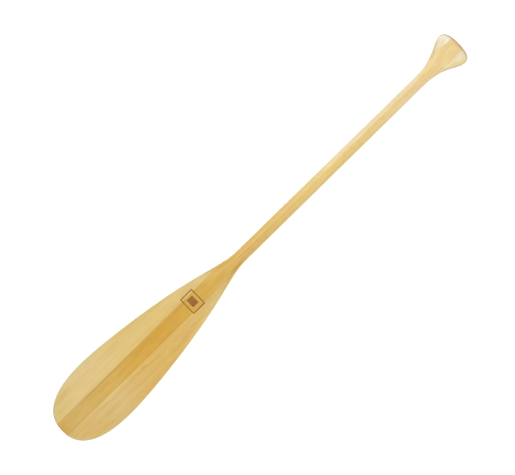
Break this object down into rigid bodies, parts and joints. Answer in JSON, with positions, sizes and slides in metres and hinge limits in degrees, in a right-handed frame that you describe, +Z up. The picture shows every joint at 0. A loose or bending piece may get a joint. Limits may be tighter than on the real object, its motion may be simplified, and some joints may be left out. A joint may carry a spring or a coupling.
{
  "type": "canoe paddle",
  "caption": "Single-blade wooden canoe paddle with a long rounded beavertail blade, an oval shaft and a flared palm grip, laminated from glued boards.",
  "frame": {"origin": "centre of the paddle's outline, on the flat surface it lies on, under the shaft and grip", "axes": "+X along the paddle from the blade tip to the grip; +Y across the blade, towards the paler left wing; +Z up through the paddle's thickness, as it lies on its face"},
  "size_m": [1.372, 0.1756, 0.028],
  "materials": {
    "stave_wood": "clear satin varnish",
    "left_wing_wood": "clear satin varnish",
    "right_wing_wood": "clear satin varnish",
    "ear_wood": "clear satin varnish"
  },
  "bodies": {
    "root": {"centre_stave": "stave_wood", "blade_wing_left": "left_wing_wood", "blade_wing_right": "right_wing_wood", "grip_ear_left": "ear_wood", "grip_ear_right": "ear_wood"}
  },
  "joints": []
}
